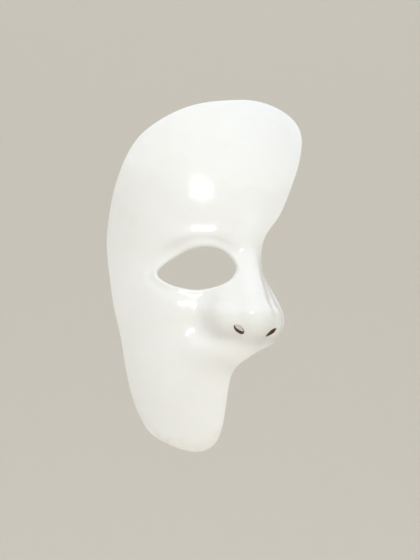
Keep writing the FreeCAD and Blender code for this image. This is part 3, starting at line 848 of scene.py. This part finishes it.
# ---------------- materials
class Paint:
    """A Principled material with short calls for the nodes that shape it."""

    def __init__(self, name, **values):
        self.material = bpy.data.materials.new(name)
        self.material.use_nodes = True
        self.nodes = self.material.node_tree.nodes
        self.shader = self.nodes["Principled BSDF"]
        self.where = self.add("ShaderNodeTexCoord").outputs["Object"]
        self.feed(self.shader, **values)

    def add(self, kind, **settings):
        node = self.nodes.new(kind)
        for key, value in settings.items():
            setattr(node, key, value)
        return node

    def link(self, source, target):
        self.material.node_tree.links.new(source, target)

    def put(self, value, socket):
        """Link a node's output to a socket, or set the socket to a number or a colour."""
        if hasattr(value, "is_linked"):
            self.link(value, socket)
        else:
            socket.default_value = value

    def feed(self, node, **values):
        """Set or link a node's inputs by name."""
        for key, value in values.items():
            self.put(value, node.inputs[key.replace("_", " ")])
        return node

    def noise(self, size_mm, detail=2.0, rough=0.5, stretch=None, distortion=0.0):
        """Noise whose features are about this many millimetres; stretch lengthens them along an axis."""
        node = self.feed(self.add("ShaderNodeTexNoise"), Scale=1000.0 / size_mm, Detail=detail,
                         Roughness=rough, Distortion=distortion)
        self.link(self.mapped(stretch), node.inputs["Vector"])
        return node.outputs["Fac"]

    def mapped(self, stretch):
        """Object coordinates, scaled along the axes if stretch is given."""
        if stretch is None:
            return self.where
        node = self.feed(self.add("ShaderNodeMapping"), Vector=self.where, Scale=stretch)
        return node.outputs["Vector"]

    def cells(self, size_mm, feature):
        """Distances in a pattern of cells of this size."""
        node = self.feed(self.add("ShaderNodeTexVoronoi", feature=feature), Scale=1000.0 / size_mm,
                         Vector=self.where)
        return node.outputs["Distance"]

    def value(self, name):
        """A number stored on the mesh."""
        return self.add("ShaderNodeAttribute", attribute_name=name).outputs["Fac"]

    def spread(self, source, low, high, to_low=0.0, to_high=1.0):
        """Smooth map from low..high to to_low..to_high."""
        node = self.add("ShaderNodeMapRange", interpolation_type="SMOOTHSTEP")
        self.feed(node, Value=source, From_Min=low, From_Max=high, To_Min=to_low, To_Max=to_high)
        return node.outputs["Result"]

    def math(self, operation, a, b):
        node = self.add("ShaderNodeMath", operation=operation)
        for socket, value in zip(node.inputs, (a, b)):
            self.put(value, socket)
        return node.outputs[0]

    def blend(self, share, a, b):
        """Colour a where share is 0 and b where it is 1."""
        node = self.add("ShaderNodeMix", data_type="RGBA")
        for socket, value in ((node.inputs[0], share), (node.inputs[6], a), (node.inputs[7], b)):
            self.put((*value, 1) if isinstance(value, tuple) else value, socket)
        return node.outputs[2]

    def ramp(self, source, stops):
        """Colours along a number."""
        node = self.feed(self.add("ShaderNodeValToRGB"), Fac=source)
        points = node.color_ramp.elements
        while len(points) < len(stops):
            points.new(0.5)
        for point, (place, color) in zip(points, stops):
            point.position, point.color = place, (*color, 1)
        return node.outputs["Color"]

    def bump(self, *layers):
        """Bumps of (height, depth in mm), one over the other."""
        last = None
        for height, depth in layers:
            node = self.feed(self.add("ShaderNodeBump"), Strength=1.0, Distance=depth * MM, Height=height)
            if last is not None:
                self.link(last, node.inputs["Normal"])
            last = node.outputs["Normal"]
        self.link(last, self.shader.inputs["Normal"])
        return self

    def color(self, source):
        self.link(source, self.shader.inputs["Base Color"])
        return self

    def rough(self, source):
        self.link(source, self.shader.inputs["Roughness"])
        return self

    def axis(self, letter):
        """One object coordinate in metres."""
        return self.feed(self.add("ShaderNodeSeparateXYZ"), Vector=self.where).outputs[letter]


def lacquer_material():
    """Hand-brushed white lacquer: ivory drift, a painted highlight along the outer rim, a little ageing at
    the low rim.
    """
    p = Paint("lacquer", IOR=1.5, Coat_Weight=0.6, Coat_Roughness=0.04, Coat_IOR=1.5)
    drift = p.spread(p.noise(46, 3.0, 0.55), 0.35, 0.68)
    base = p.blend(drift, (0.850, 0.862, 0.850), (0.828, 0.835, 0.810))
    cloud = p.spread(p.noise(9, 4.0, 0.6), 0.52, 0.80, 0.0, 0.35)
    base = p.blend(cloud, base, (0.800, 0.800, 0.765))
    near_rim = p.spread(p.value("from_rim"), 0.5, 9.0, 1.0, 0.0)
    low = p.spread(p.axis("Z"), -0.095, -0.045, 1.0, 0.0)
    grime = p.math("MULTIPLY", p.math("MULTIPLY", near_rim, low), p.spread(p.noise(7, 4.0, 0.65), 0.3, 0.7))
    base = p.blend(p.math("MULTIPLY", grime, 0.35), base, (0.60, 0.52, 0.40))
    # Painted highlight: the lacquer is made a little whiter within about 2 mm of the outer rim, standing in
    # for the light caught by the rounded edge.
    painted_rim_highlight = p.math("MULTIPLY", p.spread(p.value("from_rim"), 0.4, 2.2, 1.0, 0.0), 0.35)
    base = p.blend(painted_rim_highlight, base, (0.87, 0.87, 0.86))
    p.color(base)
    p.rough(p.spread(p.noise(5, 3.0, 0.6), 0.3, 0.75, 0.15, 0.26))
    p.bump((p.noise(26, 1.5), 0.28), (p.noise(6.5, 2.0, 0.5), 0.035), (p.noise(0.9, 2.0), 0.003))
    return p.material


def paper_material(name, dark, light, fibre_mm):
    """Torn pulp paper: piece-by-piece tone, long fibres and flecks."""
    p = Paint(name, Specular_IOR_Level=0.25, Sheen_Weight=0.1, Sheen_Roughness=0.6)
    piece, cloud = p.math("MULTIPLY", p.value("tone"), 0.55), p.math("MULTIPLY", p.noise(14, 4.0, 0.6), 0.5)
    middle = tuple((a + b) / 2 for a, b in zip(dark, light))
    base = p.ramp(p.math("ADD", piece, cloud), [(0.15, dark), (0.5, middle), (0.9, light)])
    fibre = p.noise(fibre_mm, 5.0, 0.7, (0.18, 1.0, 1.0), 0.6)
    cross = p.noise(fibre_mm, 5.0, 0.7, (1.0, 0.6, 0.16), 0.8)
    fibres = p.math("MULTIPLY", p.math("ADD", fibre, cross), 0.5)
    base = p.blend(p.spread(fibres, 0.42, 0.66, 0.0, 0.45), base, tuple(0.45 * c for c in dark))
    fleck = p.spread(p.noise(1.6, 2.0, 0.6), 0.68, 0.76, 0.0, 0.6)
    p.color(p.blend(fleck, base, (0.66, 0.58, 0.44)))
    p.rough(p.spread(fibres, 0.35, 0.65, 0.72, 0.92))
    return p.bump((p.noise(4.5, 3.0, 0.6), 0.12), (fibres, 0.10), (p.noise(0.35, 3.0), 0.02)).material


def felt_material():
    """Pressed black felt: matted hair in two directions with a soft sheen."""
    p = Paint("pad_felt", Roughness=0.9, Specular_IOR_Level=0.15, Sheen_Weight=0.55, Sheen_Roughness=0.45)
    p.shader.inputs["Sheen Tint"].default_value = (0.75, 0.77, 0.82, 1)
    one_way, other_way = [p.noise(0.55, 5.0, 0.75, stretch, 1.6) for stretch in ((0.22, 1, 1), (1, 1, 0.22))]
    hair = p.math("MULTIPLY", one_way, other_way)
    wool = p.spread(hair, 0.14, 0.36)
    base = p.blend(wool, (0.016, 0.016, 0.018), (0.062, 0.062, 0.068))
    lint = p.spread(p.noise(0.8, 3.0, 0.8, (0.15, 1.0, 1.0), 2.5), 0.70, 0.78, 0.0, 0.5)
    p.color(p.blend(lint, base, (0.20, 0.20, 0.20)))
    p.rough(p.spread(wool, 0.0, 1.0, 0.82, 0.98))
    return p.bump((p.noise(3.0, 2.0), 0.10), (hair, 0.16)).material


def leather_material(name, dark, light, edge):
    """Vegetable-tanned leather: pebbled grain, creases and a rubbed, darker edge."""
    p = Paint(name, IOR=1.48, Coat_Weight=0.12, Coat_Roughness=0.3)
    pebble = p.cells(0.42, "SMOOTH_F1")
    crease = p.cells(0.62, "DISTANCE_TO_EDGE")
    tone = p.spread(p.noise(5, 4.0, 0.6), 0.3, 0.7)
    base = p.blend(tone, dark, light)
    base = p.blend(p.spread(crease, 0.0, 0.10, 0.75, 0.0), base, edge)
    worn = p.spread(p.add("ShaderNodeNewGeometry").outputs["Pointiness"], 0.52, 0.60)
    p.color(p.blend(p.math("MULTIPLY", worn, 0.5), base, tuple(min(1.6 * c, 1.0) for c in light)))
    p.rough(p.spread(p.noise(2.5, 3.0), 0.3, 0.7, 0.42, 0.60))
    return p.bump((p.noise(3.5, 2.0), 0.08), (pebble, -0.07), (p.spread(crease, 0.0, 0.14), 0.05)).material


def thread_material():
    """Waxed linen thread with a tight twist."""
    p = Paint("thread", Roughness=0.6, Sheen_Weight=0.3)
    ply = p.noise(0.3, 2.0, 0.6, (1.0, 0.4, 1.0), 0.8)
    p.color(p.blend(p.spread(ply, 0.35, 0.65), (0.30, 0.24, 0.15), (0.62, 0.54, 0.40)))
    p.rough(p.spread(ply, 0.3, 0.7, 0.5, 0.72))
    return p.bump((ply, 0.06)).material


def brass_material():
    """Drawn brass wire: bright, with fine hairlines and a warm tarnish in patches."""
    p = Paint("ring_brass", Metallic=1.0)
    tarnish = p.spread(p.noise(3.2, 4.0, 0.65), 0.45, 0.72)
    p.color(p.blend(tarnish, (0.80, 0.58, 0.26), (0.50, 0.32, 0.13)))
    line = p.noise(0.35, 3.0, 0.6, (1.0, 1.0, 0.12))
    p.rough(p.math("ADD", p.spread(line, 0.3, 0.7, 0.14, 0.26), p.math("MULTIPLY", tarnish, 0.14)))
    return p.bump((line, 0.012)).material


# ---------------- stage, lights and camera
FLOOR_Z = -0.42  # metres, as are all sizes in this section
FLOOR_SIDES = 96
LAMP_AIM = (-0.01, 0.02, 0.01)
# Name, azimuth, elevation, distance, size, watts, and whether it shows in reflections.
LIGHTS = [("key", -26, 20, 1.5, (0.55, 0.14), 4, True),
          ("fill_left", -66, -4, 1.6, (1.3, 0.5), 2.0, False),
          ("fill_right", 10, -8, 1.5, (1.3, 0.4), 4.6, False)]
VIEW_DISTANCE = 1.4
VIEW_HEIGHT = 0.3472  # height of the picture at the mask
VIEW_SHIFT = (0.0223, 0.0112)  # the aim is left of and below the root of the nose


def toward(azimuth, elevation):
    """Direction from the mask, in degrees round from the front and up."""
    a, e = math.radians(azimuth), math.radians(elevation)
    return Vector((math.sin(a) * math.cos(e), -math.cos(a) * math.cos(e), math.sin(e)))


def build_stage():
    """Pale floor that turns up into a far wall all round."""
    profile = [(0.7, FLOOR_Z), (1.2, -0.4), (1.6, -0.3), (1.85, -0.1), (1.98, 0.2), (2.0, 0.5), (2.0, 0.85)]
    turn = np.linspace(0, 2 * math.pi, FLOOR_SIDES, endpoint=False)
    points = [(0.0, 0.0, FLOOR_Z)] + [(r * math.cos(a), r * math.sin(a), z) for r, z in profile for a in turn]
    faces = [(0, 1 + k, 1 + (k + 1) % FLOOR_SIDES) for k in range(FLOOR_SIDES)]
    faces = faces + [[v + 1 for v in quad] for quad in grid_faces(len(profile), FLOOR_SIDES, False, True)]
    floor = add_mesh("floor", points, faces)
    smooth = floor.modifiers.new("smooth", "SUBSURF")
    smooth.levels = smooth.render_levels = 2
    wall = Paint("backdrop", Roughness=0.9, Specular_IOR_Level=0.0)
    wall.color(wall.blend(wall.noise(600, 1.0), (0.674, 0.640, 0.576), (0.686, 0.652, 0.586)))
    floor.data.materials.append(wall.material)


def area_light(name, azimuth, elevation, distance, size, power, mirrored):
    """Rectangular lamp that looks at the mask."""
    data = bpy.data.lights.new(name, "AREA")
    data.shape, data.size, data.size_y = "RECTANGLE", size[0], size[1]
    data.energy = power
    lamp = placed(name, data)
    way = toward(azimuth, elevation)
    lamp.location = Vector(LAMP_AIM) + way * distance
    lamp.rotation_mode = "QUATERNION"
    lamp.rotation_quaternion = way.to_track_quat("Z", "Y")
    lamp.visible_camera = False
    lamp.visible_glossy = mirrored


def build_lights():
    """Even, slightly cool surroundings and the lamps."""
    world = bpy.data.worlds.new("studio")
    bpy.context.scene.world = world
    world.use_nodes = True
    back = world.node_tree.nodes["Background"]
    back.inputs["Color"].default_value = (0.975, 1.0, 1.035, 1)
    back.inputs["Strength"].default_value = 1.03
    for light in LIGHTS:
        area_light(*light)
    bpy.context.scene.view_settings.view_transform = "Standard"


def build_camera():
    """View from the covered side, a little below, leaning 3 degrees."""
    azimuth, roll = math.radians(-24), math.radians(3)
    back = toward(-24, -9)
    right = Vector((math.cos(azimuth), math.sin(azimuth), 0))
    up = back.cross(right)
    turned_right = right * math.cos(roll) + up * math.sin(roll)
    turned_up = up * math.cos(roll) - right * math.sin(roll)
    root = Vector(to_row([0, 0, 0]))
    place = root + back * VIEW_DISTANCE
    aim = root - turned_right * VIEW_SHIFT[0] - turned_up * VIEW_SHIFT[1]
    away = (place - aim).normalized()
    x_way = turned_up.cross(away).normalized()
    data = bpy.data.cameras.new("camera")
    data.sensor_width = 36.0
    data.lens = data.sensor_width * VIEW_DISTANCE / VIEW_HEIGHT
    camera = placed("camera", data)
    turned = Matrix((x_way, away.cross(x_way), away)).transposed().to_4x4()
    camera.matrix_world = Matrix.Translation(place) @ turned
    bpy.context.scene.camera = camera


# ---------------- the object
# Each pad's middle, half sizes and slant; its height; and where its grooves are.
PADS = {"forehead": ((-12.0, 70.0, 24.0, 8.0, 4.0), 4.0, (-8.0, 8.0)),
        "cheek": ((-55.0, -62.0, 7.0, 16.0, 6.0), 4.0, (-5.3, 5.3)),
        "nose": ((0.0, -23.0, 3.6, 5.5, 0.0), 2.5, ())}
# Place of each anchor and the direction from it to the rim.
ANCHORS = {"temple": (-76.5, 6.0, -1.0, 0.0), "forehead": (31.0, 77.0, 0.86, -0.51)}


def finished(piece, material, body, slot, *nodes):
    """Give a piece its material and body, and hide the CAD nodes that it stands for; slot is not used."""
    piece.data.materials.clear()
    piece.data.materials.append(material)
    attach(piece, body)
    if nodes:
        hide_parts(*nodes)


build_stage()
build_lights()
build_camera()

lacquer = lacquer_material()
papier = paper_material("papier_mache", (0.17, 0.098, 0.052), (0.40, 0.27, 0.155), 1.3)
kraft = paper_material("binding_paper", (0.30, 0.195, 0.105), (0.52, 0.38, 0.235), 1.0)
felt = felt_material()
patch_leather = leather_material("patch_leather", (0.070, 0.036, 0.019), (0.135, 0.070, 0.036),
                                 (0.030, 0.016, 0.009))
tab_leather = leather_material("tab_leather", (0.150, 0.075, 0.036), (0.245, 0.130, 0.066),
                               (0.060, 0.030, 0.015))
linen = thread_material()
brass = brass_material()

skin = build_lacquer()
body = build_paper()
for thing, mouth in ((skin, SLOT_FLARE), (body, 0.0)):
    cut(thing, [nostril_cutter(-1, mouth), nostril_cutter(1, mouth)])
    thing.data.set_sharp_from_angle(angle=math.radians(50))
finished(skin, lacquer, "mask", "lacquer", "front_coat")
finished(body, papier, "mask", "papier_mache", "paper_shell")

strips = torn_strips("rim_strips", "rim", RIM_STRIP, 26, 41)
finished(strips, kraft, "mask", "binding_paper", "rim_binding")
strips = torn_strips("eye_strips", "eye", EYE_STRIP, 12, 42)
finished(strips, kraft, "mask", "binding_paper", "eye_binding")

for k, (name, (pad, height, channels)) in enumerate(PADS.items()):
    piece = cushion(name + "_cushion", pad, height, channels, 51 + k)
    finished(piece, felt, "mask", "pad_felt", name + "_pad")
    sewing = joined(name + "_sewing", cushion_threads(pad))
    finished(sewing, linen, "mask", None)

for k, (name, place) in enumerate(ANCHORS.items()):
    anchor = Anchor(*place)
    finished(leather_patch(name + "_leather", anchor, 61 + k), patch_leather, "mask", "patch_leather",
             name + "_patch")
    finished(leather_tab(name + "_strap_loop", anchor), tab_leather, "mask", "tab_leather", name + "_tab")
    finished(joined(name + "_stitches", anchor_threads(anchor)), linen, "mask", None)
    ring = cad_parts[name + "_ring"]
    for slot in ring.material_slots:
        slot.material = brass
